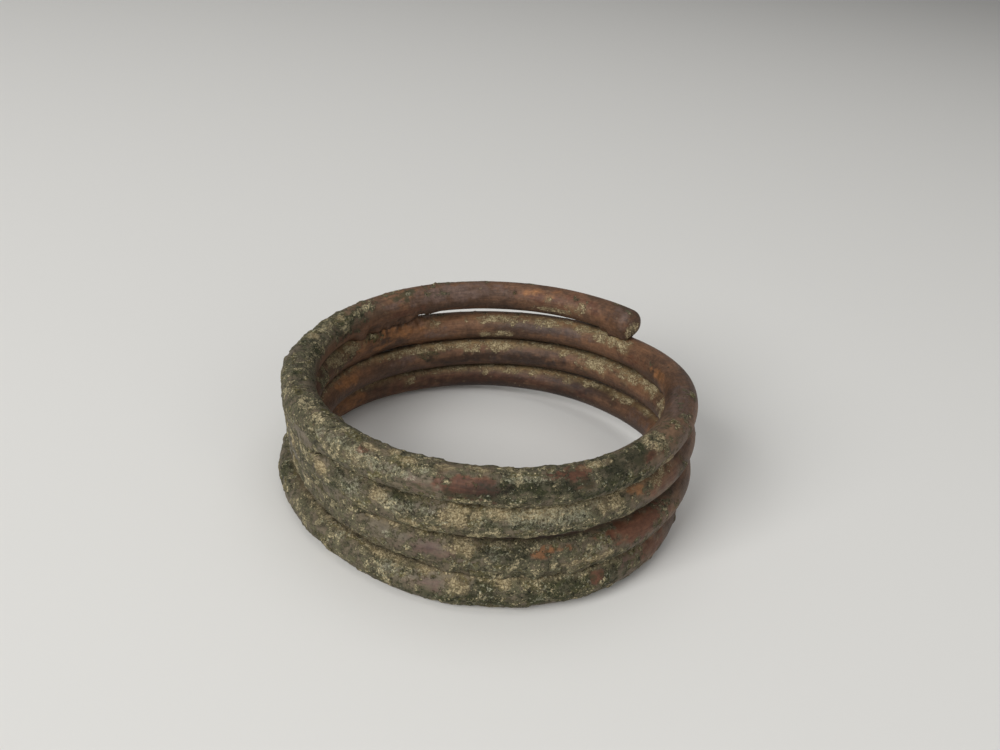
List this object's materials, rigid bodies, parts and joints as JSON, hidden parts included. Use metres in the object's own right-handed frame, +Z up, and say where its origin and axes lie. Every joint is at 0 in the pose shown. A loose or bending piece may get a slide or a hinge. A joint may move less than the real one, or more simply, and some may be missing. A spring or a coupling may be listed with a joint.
{
  "type": "coil bangle",
  "caption": "Ancient bronze coil bangle: a round rod wound into a close stack of turns with two blunt ends, under brown patina and green crust.",
  "frame": {"origin": "on the ground, under the middle of the coil's outline", "axes": "+Z up along the coil's axis as it stands, +Y away from the side the picture shows in front, +X to that view's right"},
  "size_m": [0.0978, 0.097, 0.0367],
  "materials": {
    "patinated_bronze": "corroded bronze: matt brown to red-brown patina, olive and grey-green crust, sandy soil in the grooves"
  },
  "bodies": {
    "root": {"coil": "patinated_bronze"}
  },
  "joints": []
}
